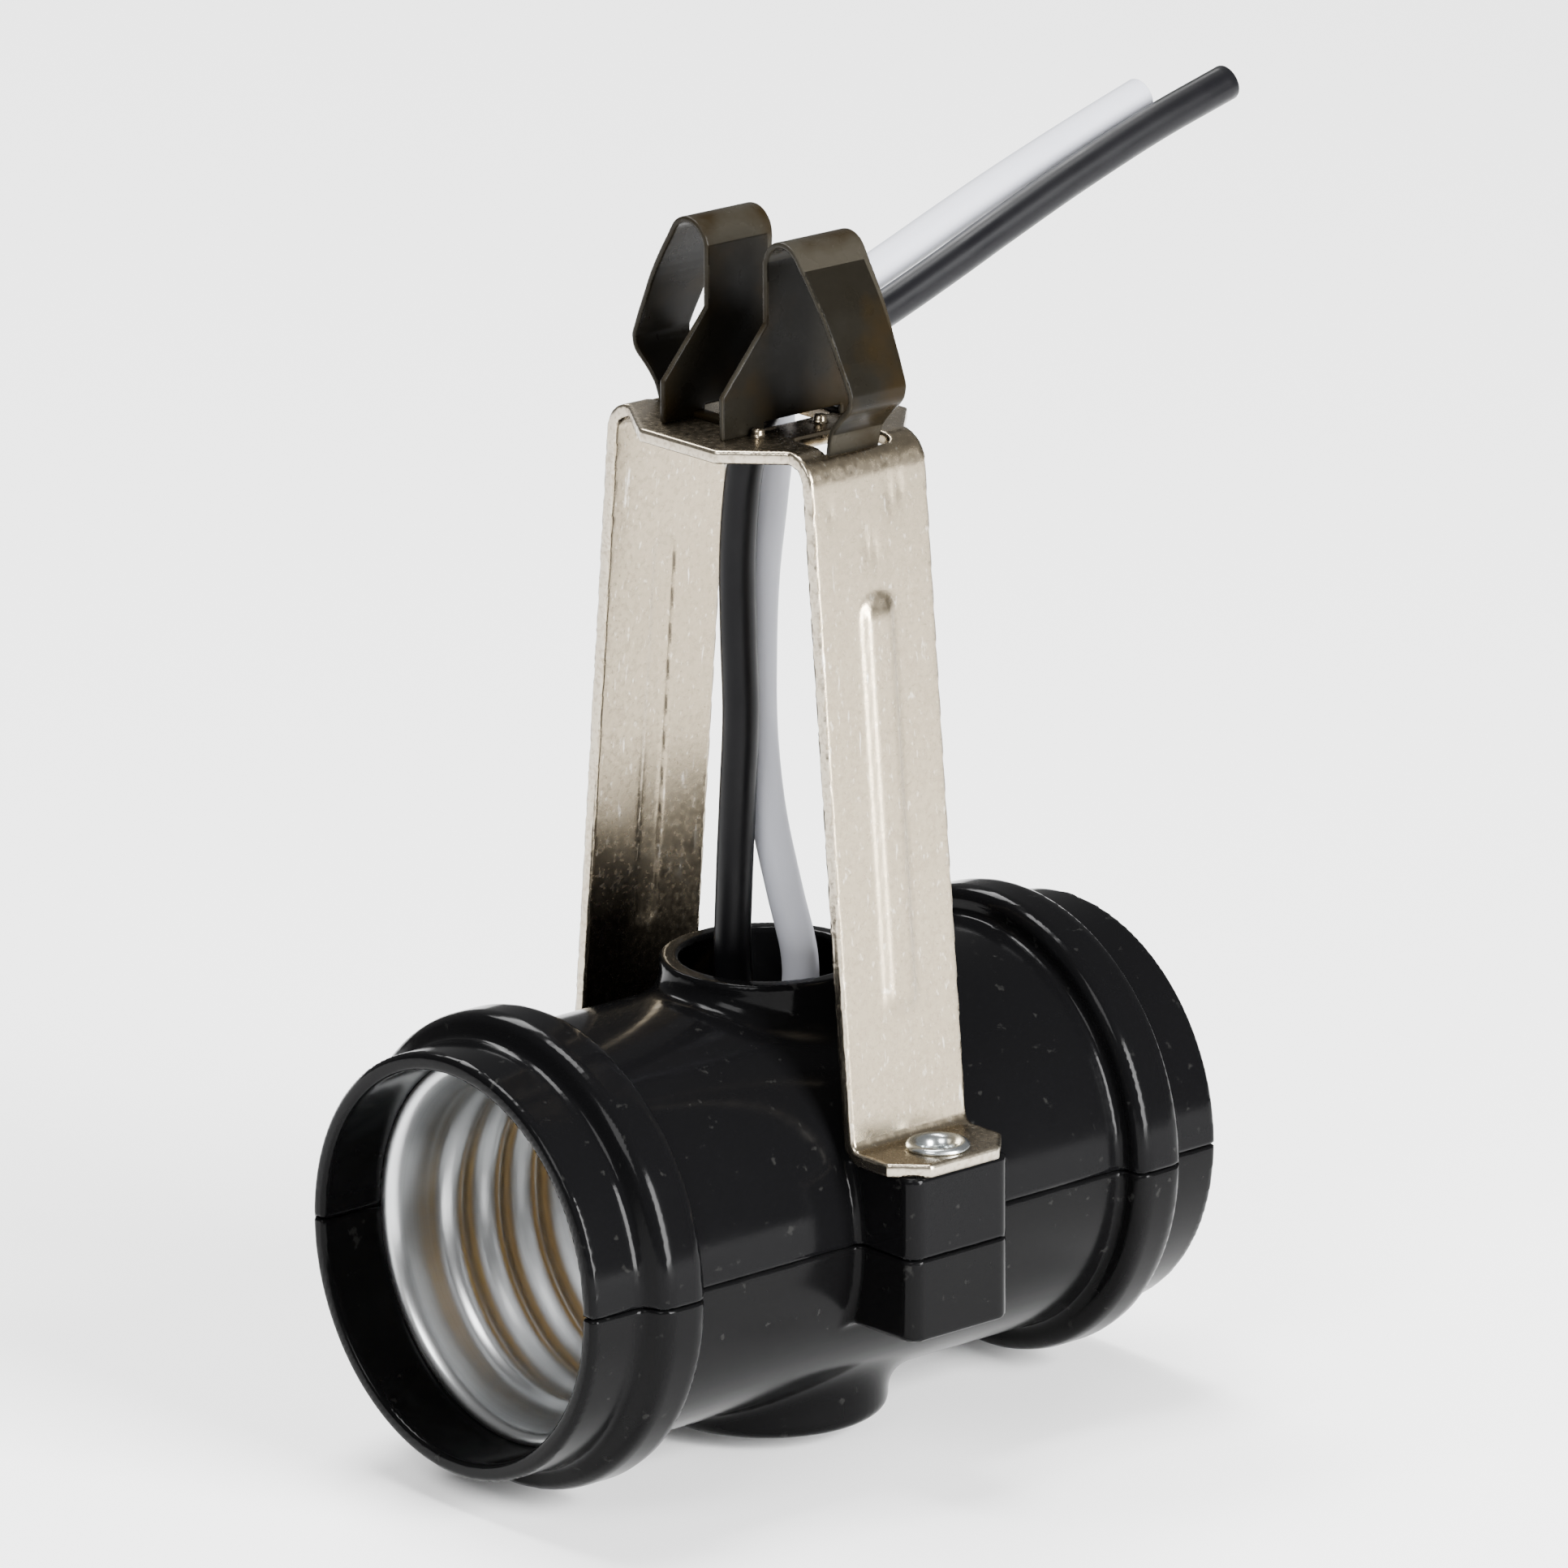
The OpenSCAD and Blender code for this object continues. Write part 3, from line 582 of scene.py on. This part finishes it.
def along_strap(y, z):
    """Distance along the middle of the strap's metal, and the offset towards its outer face."""
    c, s = math.cos(LEG_SLOPE), math.sin(LEG_SLOPE)
    w = np.abs(y)
    on, off = w.copy(), z + MID
    dy, dz = w - BEND_Y, z + BEND
    angle = np.arctan2(dz, dy)
    bend = (dy > 0) & (angle > LEG_SLOPE)
    on = np.where(bend, S_BEND + (math.pi / 2 - angle) * (BEND - MID), on)
    off = np.where(bend, np.hypot(dy, dz) - (BEND - MID), off)
    down = dy * s - dz * c
    leg = (angle <= LEG_SLOPE) & (down > 0)
    on = np.where(leg, S_LEG + down, on)
    off = np.where(leg, dy * c + dz * s - (BEND - MID), off)
    fy, fz = w - FOOT_BEND_Y, z - FOOT_TOP - FOOT_BEND
    below = leg & (down > LEG_LEN)
    low_angle = np.arctan2(fz, fy)
    swept = np.mod(low_angle, 2 * math.pi) - math.pi - LEG_SLOPE
    on = np.where(below, S_LOW + np.clip(swept, 0, TURN) * (FOOT_BEND + MID), on)
    off = np.where(below, (FOOT_BEND + MID) - np.hypot(fy, fz), off)
    foot = below & (fy > 0)
    on = np.where(foot, S_FOOT + fy, on)
    off = np.where(foot, z - FOOT_TOP + MID, off)
    return on, off


# The flat blank before bending: width either side, distance along the strap.
HALF_STRAP, HALF_WING, FOOT_CHAMFER = 5.7, 9.5, 2.3
BLANK = [(HALF_STRAP - FOOT_CHAMFER, -S_END), (HALF_STRAP, -S_END + FOOT_CHAMFER), (HALF_STRAP, -BEND_Y),
         (HALF_WING, -5.15), (HALF_WING, 3.35), (HALF_STRAP, BEND_Y), (HALF_STRAP, S_END - FOOT_CHAMFER),
         (HALF_STRAP - FOOT_CHAMFER, S_END)]
BLANK = BLANK + [(-x, s) for x, s in reversed(BLANK)]
LEAD_OPENING = ((0.5, 0), (3.9, 2.6))     # middle and half size of the opening for the leads
TAIL_WINDOW = ((0.1, 8.35), (3.2, 1.85))  # and of each window for a tail of the clip
RIB_LOW, RIB_HIGH = S_LOW - 8.0, S_LEG + 8.4
RIB_MIDDLE, RIB_HALF_LEN = (RIB_LOW + RIB_HIGH) / 2, (RIB_LOW - RIB_HIGH) / 2
RIB_HALF, RIB_HEIGHT, RIB_SIDE, RIB_RUN_OUT = 1.85, 0.34, 1.05, 2.4
GROOVE_IN, GROOVE_DEPTH, GROOVE_SIDE = 0.6, 0.16, 0.5
# Rows of small dings in the front leg: across, along the strap, half width, half length, depth.
DINGS = [(1.9, S_LEG + 1.6, 0.35, 1.3, 0.10), (2.9, S_LEG + 1.2, 0.30, 1.1, 0.09),
         (-0.6, S_LEG + 5.2, 0.22, 1.3, 0.08), (0.2, S_LEG + 5.6, 0.22, 1.2, 0.08),
         (-3.9, S_LEG + 2.2, 0.2, 0.9, 0.06)]
DING_SHARE = 0.75
STAKES = (-4.3, 1.8, 4.1, 0.5)            # left and right x, distance from the middle in y, radius
BRACKET_STEP = 0.26


def box_2d(u, v, centre, half, rounding):
    """Signed distance from (u, v) to a rectangle with rounded corners."""
    q = np.stack([np.abs(u - centre[0]) - half[0] + rounding, np.abs(v - centre[1]) - half[1] + rounding])
    return np.hypot(*np.maximum(q, 0)) + np.minimum(q.max(axis=0), 0) - rounding


def ease(t):
    """A rise from 0 to 1 that starts and ends level."""
    return 0.5 - 0.5 * np.cos(np.clip(t, 0, 1) * math.pi)


def bracket_field(p):
    x, y, z = p.T
    on, off = along_strap(y, z)
    signed = np.where(y < 0, -on, on)
    outline = polygon_distance(x, signed, BLANK)
    rib = box_2d(x, on, (0, RIB_MIDDLE), (RIB_HALF, RIB_HALF_LEN), RIB_HALF)
    run_out = ease((RIB_HALF_LEN - np.abs(on - RIB_MIDDLE)) / RIB_RUN_OUT)
    lift = RIB_HEIGHT * ease(-rib / RIB_SIDE) * run_out
    groove = GROOVE_DEPTH * ease((-rib - GROOVE_IN) / GROOVE_SIDE) * run_out
    front = y < 0
    for at_x, at_s, wide, tall, deep in DINGS:
        ding = np.exp(-((x - at_x) / wide) ** 2 - ((on - at_s) / tall) ** 2)
        lift = lift - np.where(front, DING_SHARE * deep, 0) * ding
    outline = smooth_max(outline, -box_2d(x, signed, *LEAD_OPENING, 0.4), 0.08)
    outline = smooth_max(outline, -box_2d(x, on, *TAIL_WINDOW, 0.4), 0.08)
    outline = smooth_max(outline, EYELET_HOLE - np.hypot(x, on - S_FOOT - EYELET_Y + FOOT_BEND_Y), 0.08)
    ragged = 0.018 * lattice_noise(np.stack([x, on, 0 * x], 1), 0.55, 21)
    d = smooth_max(np.maximum(off - lift, groove - off) - MID, outline + ragged, 0.16)
    left, right, apart, radius = STAKES
    from_stake = np.hypot(np.minimum(np.abs(x - left), np.abs(x - right)), np.abs(y) - apart)
    stake = rounded_cylinder(from_stake, z, radius, -0.5, 0.62, 0.2)
    return smooth_min(d, stake, 0.25)


def add_bracket():
    verts, quads = mesh_field(bracket_field, [-10.9, -22.9, FOOT_TOP - 1.6], [10.9, 22.9, 1.2], BRACKET_STEP)

    def edge(centres):
        x, y, z = centres.T
        on, _ = along_strap(y, z)
        outline = polygon_distance(x, np.where(y < 0, -on, on), BLANK)
        return outline > -0.10

    add_mesh("strap_bracket", verts, quads, "fixture", [NICKEL, NICKEL_EDGE], ["bracket"],
             edge)


add_bracket()


# ---- Spring clip ------------------------------------------------------------------------------

# Outer face of an arm's leg in (y, z), and the outline of an upright wall in (x, z).
LEG_ROUTE = [(9.5, 10.2), (11.05, 7.2), (12.2, 4.8), (12.4, 4.0), (12.1, 3.0), (10.8, 1.75), (9.95, 0.6),
             (9.55, -1.3)]
WALL = [(-7.3, 0), (-3.2, 0), (-3.2, 0.75), (4.4, 0.75), (4.4, 0), (7.3, 0), (7.3, 3.25), (3, 8.2), (3, 13),
        (-3, 13), (-3, 8.2), (-7.3, 3.25)]
ARM_X, ARM_HALF, ARM_TAPER = 0.28, 2.65, 0.06   # middle, half width at z = 3, and widening with height
TIES = (-3.8, 5.0, 0.6)                         # x of the two cross strips, and their half width
CLIP_STEP = 0.15


def arm_middle():
    """Middle line of one arm in (y, z): up the wall, over the arch and down the leg to its tail."""
    cy, cz, r = ARCH
    away = np.array(LEG_ROUTE[0]) - (cy, cz)
    fall = math.atan2(away[1], away[0]) + math.acos(r / np.hypot(*away))
    mid = r - CLIP_T / 2
    arch = [(cy + mid * math.cos(a), cz + mid * math.sin(a)) for a in np.linspace(math.pi, fall, 16)]
    start = (cy + r * math.cos(fall), cz + r * math.sin(fall))
    outer = spline_through([start] + LEG_ROUTE, 4)
    slope = np.gradient(outer, axis=0)
    slope /= np.hypot(*slope.T)[:, None]
    leg = outer + CLIP_T / 2 * np.stack([slope[:, 1], -slope[:, 0]], 1)
    return [(WALL_Y + CLIP_T / 2, 9.0)] + arch + [tuple(q) for q in leg[1:]]


ARM = arm_middle()


def chain_distance(u, v, points):
    """Distance from (u, v) to an open chain of points."""
    best = np.full(u.shape, 1e9)
    for (ax, ay), (bx, by) in zip(points, points[1:]):
        ex, ey = bx - ax, by - ay
        t = np.clip(((u - ax) * ex + (v - ay) * ey) / (ex * ex + ey * ey), 0, 1)
        best = np.minimum(best, (u - ax - t * ex) ** 2 + (v - ay - t * ey) ** 2)
    return np.sqrt(best)


def arm_parts(p):
    """Distances off the wall's sheet, to its outline, off the arm's sheet and to the arm's long edges."""
    x, w, z = p.T[0], np.abs(p.T[1]), p.T[2]
    wall_off = np.abs(w - WALL_Y - CLIP_T / 2) - CLIP_T / 2
    wall_edge = polygon_distance(x, z, WALL)
    arm_off = chain_distance(w, z, ARM) - CLIP_T / 2
    return wall_off, wall_edge, arm_off, np.abs(x - ARM_X) - ARM_HALF - ARM_TAPER * (z - 3)


def arm_field(p):
    wall_off, wall_edge, arm_off, arm_edge = arm_parts(p)
    return np.minimum(smooth_max(wall_off, wall_edge, 0.12), smooth_max(arm_off, arm_edge, 0.12))


def strips_field(p):
    x, y, z = p.T
    left, right, half = TIES
    q = np.minimum(np.abs(x - left), np.abs(x - right)) - half
    flat = smooth_max(np.abs(z - CLIP_T / 2) - CLIP_T / 2, q, 0.12)
    return smooth_max(flat, np.abs(y) - WALL_Y - 0.05, 0.1)


# Faces along the clip's edges, which take the painted edge highlight.
def arm_edge_highlight_faces(centres):
    wall_off, wall_edge, arm_off, arm_edge = arm_parts(centres)
    on_wall = np.maximum(wall_edge, np.where(wall_off > 0.1, -9, -1)) > -0.07
    return on_wall | ((arm_edge > -0.07) & (arm_off < 0.05))


def add_clip():
    for side, name in ((-1, "front"), (1, "back")):
        low, high = sorted((side * 2.8, side * 12.8))
        verts, quads = mesh_field(arm_field, [-7.6, low, -1.9], [7.6, high, 15.1], CLIP_STEP)
        arm = add_mesh(f"spring_clip_{name}", verts, quads, None, [SPRING, SPRING_EDGE_HIGHLIGHT],
                       [f"{name}_clip_leg"], arm_edge_highlight_faces)
        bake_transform(arm)
    verts, quads = mesh_field(strips_field, [-4.8, -3.6, -0.4], [6.0, 3.6, 0.9], CLIP_STEP)
    add_mesh("spring_clip_ties", verts, quads, "fixture", [SPRING], ["clip_base"])


add_clip()


# ---- Eyelets ----------------------------------------------------------------------------------

EYELET_LOW = AXIS_Z - 6.35
EYELET_TURNS = 72
# Radius, and height above the foot, up the throat and over the rolled rim.
FLANGE = [(1.20, -0.9), (1.22, -0.5), (1.30, -0.2), (1.45, 0.08), (1.66, 0.30), (1.90, 0.43), (2.10, 0.46),
          (2.28, 0.40), (2.42, 0.26), (2.48, 0.10), (2.44, 0.01)]


def add_eyelets():
    low, high = EYELET_LOW, FOOT_TOP
    profile = [(r, high + rise) for r, rise in FLANGE]
    profile += [(1.97, high), (1.97, low + 0.12), (1.88, low + 0.02), (1.30, low + 0.02), (1.20, low + 0.12)]
    turns = EYELET_TURNS
    for side, name in ((-1, "front"), (1, "back")):
        verts = []
        for i in range(turns):
            a = 2 * math.pi * i / turns
            for r, z in profile:
                wobble = 1 + 0.012 * math.sin(3 * a + side) + 0.008 * math.sin(7 * a)
                rr = r * (wobble if r > 2.1 else 1)
                verts.append((rr * math.cos(a), side * EYELET_Y + rr * math.sin(a), z))
        n = len(profile)
        faces = []
        for i in range(turns):
            j = (i + 1) % turns
            faces += [(i * n + k, j * n + k, j * n + (k + 1) % n, i * n + (k + 1) % n) for k in range(n)]
        add_mesh(f"eyelet_{name}", verts, faces, "fixture", [ZINC], [f"{name}_eyelet"])


add_eyelets()


# ---- Materials of the CAD nodes that show as they are, and of the leads -----------------------

def finish_nodes():
    looks = {"left_insulating_disc": FIBRE, "right_insulating_disc": FIBRE, "black_strands": COPPER,
             "white_strands": COPPER}
    for name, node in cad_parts.items():
        node.data.materials.clear()
        node.data.materials.append(looks.get(name, BRASS))
    for (lead, core), material in ((black_lead, BLACK_PVC), (white_lead, WHITE_PVC_PAINTED_SHADE)):
        lead.data.materials.append(material)
        lead.data.materials.append(COPPER)
        lead.data.polygons.foreach_set("material_index", core)


finish_nodes()


# ---- Floor and light --------------------------------------------------------------------------

FLOOR_REACH, FLOOR_Z = 4.0, (AXIS_Z - 19) * MM
SKY = 0.30
LIT_AT = Vector((0, 0, -0.03))
# Name, place, size in metres and power of each soft light.
LIGHTS = (("key", (-0.9, -0.35, 0.75), (0.5, 0.5), 12),
          ("front_strip", (0.09, -0.62, 0.16), (0.24, 0.46), 24),
          ("back", (0.3, 0.9, 0.9), (0.6, 0.4), 16),
          ("top", (0.0, 0.3, 1.3), (0.6, 0.5), 38))


def add_studio():
    mesh = bpy.data.meshes.new("floor")
    corners = [(x * FLOOR_REACH, y * FLOOR_REACH, FLOOR_Z) for x, y in ((-1, -1), (1, -1), (1, 1), (-1, 1))]
    mesh.from_pydata(corners, [], [(0, 1, 2, 3)])
    floor = bpy.data.objects.new("floor", mesh)
    bpy.context.collection.objects.link(floor)
    s = Surface("floor_paper", (0.93, 0.93, 0.93), 0.9, Specular_IOR_Level=0.1)
    mesh.materials.append(s.material)

    world = bpy.data.worlds.new("studio")
    bpy.context.scene.world = world
    world.use_nodes = True
    world.node_tree.nodes["Background"].inputs["Color"].default_value = (1, 1, 1, 1)
    world.node_tree.nodes["Background"].inputs["Strength"].default_value = SKY

    for name, at, size, energy in LIGHTS:
        light = bpy.data.lights.new(name, "AREA")
        light.shape = "RECTANGLE"
        light.size, light.size_y = size
        light.energy = energy
        lamp = bpy.data.objects.new(name, light)
        lamp.location = at
        lamp.rotation_euler = (LIT_AT - Vector(at)).to_track_quat("-Z", "Y").to_euler()
        bpy.context.collection.objects.link(lamp)


add_studio()

bpy.context.view_layer.update()
